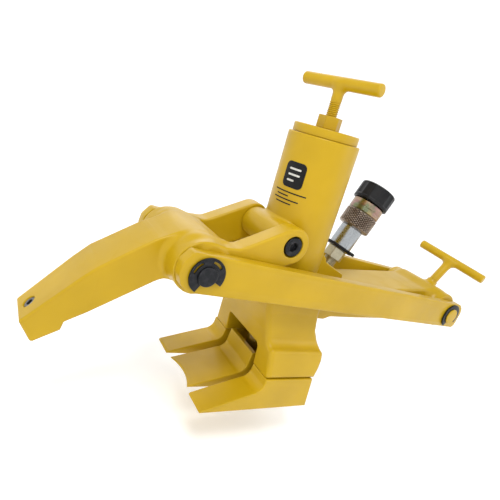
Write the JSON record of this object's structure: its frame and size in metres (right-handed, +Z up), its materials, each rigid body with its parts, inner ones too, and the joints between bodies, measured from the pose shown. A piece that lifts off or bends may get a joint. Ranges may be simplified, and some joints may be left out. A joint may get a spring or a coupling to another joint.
{
  "type": "hydraulic tyre bead breaker",
  "caption": "Hydraulic tyre bead breaker: tilted ram cylinder on a split claw foot, with a hinged clamp arm, side links, rear lever and hose coupler.",
  "frame": {"origin": "in the plane of the claw's underside, under the middle of the part's length and width, 16 mm behind the ram's axis there", "axes": "+Z up, +X towards the rear lever's handle, -X towards the claw's tips and the clamp arm's tip, Y across"},
  "size_m": [0.5612, 0.128, 0.3418],
  "materials": {
    "yellow_paint": "glossy enamel",
    "black_oxide": "satin black",
    "plain_steel": "machined",
    "chrome_rod": "polished",
    "bronze": "machined",
    "rubber": "matt",
    "yellow_zinc": "plated",
    "knurled_zinc": "knurled, plated",
    "passivated_zinc": "bright, plated",
    "black_plastic": "matt"
  },
  "bodies": {
    "cylinder": {"cylinder_barrel": "yellow_paint", "trunnion_tube": "yellow_paint", "barrel_end_cap": "yellow_paint", "hex_bushing": "yellow_paint", "rod_gland": "bronze", "rod_wiper": "rubber", "return_spring": "plain_steel", "trunnion_bolt_near": "black_oxide", "trunnion_bolt_far": "black_oxide", "claw_block": "yellow_paint", "claw_bolt_1": "black_oxide", "claw_bolt_2": "black_oxide", "claw_bolt_3": "black_oxide", "claw_bolt_4": "black_oxide", "foot_housing": "yellow_paint", "rear_lug": "yellow_paint", "lever_pin": "plain_steel", "lever_pin_clip_near": "black_oxide", "lever_pin_clip_far": "black_oxide", "coupler_nipple": "yellow_zinc", "coupler_body": "plain_steel", "cap_strap_ring": "rubber"},
    "ram": {"piston": "plain_steel", "piston_seal": "rubber", "piston_wear_ring": "bronze", "ram_rod": "chrome_rod", "push_foot": "yellow_paint", "push_foot_bolt": "black_oxide"},
    "arm": {"clamp_arm": "yellow_paint", "hub_bush_near": "bronze", "hub_bush_far": "bronze", "yoke_bush_near": "bronze", "yoke_bush_far": "bronze"},
    "grip_screw": {"arm_set_screw": "black_oxide"},
    "side_links": {"near_link": "yellow_paint", "far_link": "yellow_paint", "link_pin": "black_oxide", "link_pin_ring_near": "black_oxide", "link_pin_ring_far": "black_oxide", "rear_pin": "yellow_paint", "rear_pin_ring_near": "black_oxide", "rear_pin_ring_far": "black_oxide"},
    "lever": {"rear_lever": "yellow_paint", "rear_handle_stem": "yellow_paint", "rear_handle_bar": "yellow_paint"},
    "screw_foot": {"swivel_pad": "plain_steel"},
    "top_screw": {"clamp_screw": "yellow_paint", "clamp_screw_bar": "yellow_paint"},
    "coupler_collar": {"coupler_sleeve": "knurled_zinc", "coupler_lock_band": "passivated_zinc"},
    "cap": {"dust_cap": "black_plastic"},
    "poppet": {"coupler_poppet": "yellow_zinc"}
  },
  "joints": [
    {"name": "lever_pivot", "type": "hinge", "parent": "cylinder", "child": "lever", "pos_m": [0.0354, 0, 0.124], "axis": [0, -1, 0], "range_deg": [0, 10]},
    {"name": "arm_pivot", "type": "hinge", "parent": "cylinder", "child": "arm", "pos_m": [-0.0759, 0, 0.1771], "axis": [0, -1, 0], "range_deg": [-8.4, 0]},
    {"name": "link_pivot", "type": "hinge", "parent": "arm", "child": "side_links", "pos_m": [-0.1631, 0, 0.1408], "axis": [0, -1, 0], "range_deg": [0, 11.4]},
    {"name": "ram_stroke", "type": "slide", "parent": "cylinder", "child": "ram", "axis": [0.1323, 0, -0.9912], "range_m": [0, 0.05], "stiffness_N_per_m": 1500, "springref_m": -0.03, "deforming": ["return_spring"]},
    {"name": "grip_screw_turn", "type": "hinge", "parent": "arm", "child": "grip_screw", "pos_m": [-0.2744, 0, 0.0702], "axis": [0.7975, 0, -0.6034], "range_deg": [-180, 180]},
    {"name": "top_screw_travel", "type": "slide", "parent": "cylinder", "child": "screw_foot", "axis": [-0.1323, 0, 0.9912], "range_m": [-0.009, 0.003]},
    {"name": "top_screw_turn", "type": "hinge", "parent": "screw_foot", "child": "top_screw", "pos_m": [-0.05055, 0, 0.2597], "axis": [-0.1323, 0, 0.9912], "range_deg": [-1800, 540]},
    {"name": "collar_turn", "type": "hinge", "parent": "cylinder", "child": "coupler_collar", "pos_m": [0.04385, 0, 0.21469], "axis": [0.2723, 0, 0.9622], "continuous": true},
    {"name": "cap_pull", "type": "slide", "parent": "cylinder", "child": "cap", "axis": [0.2723, 0, 0.9622], "range_m": [0, 0.03]},
    {"name": "poppet_press", "type": "slide", "parent": "cylinder", "child": "poppet", "axis": [-0.2723, 0, -0.9622], "range_m": [0, 0.006], "stiffness_N_per_m": 400, "springref_m": -0.004}
  ],
  "couplings": [
    {"joint": "arm_pivot", "follows": "lever_pivot", "ratio": -0.833},
    {"joint": "link_pivot", "follows": "lever_pivot", "ratio": 1.134},
    {"joint": "top_screw_travel", "follows": "top_screw_turn", "m_per_rad": 0.0002785}
  ]
}
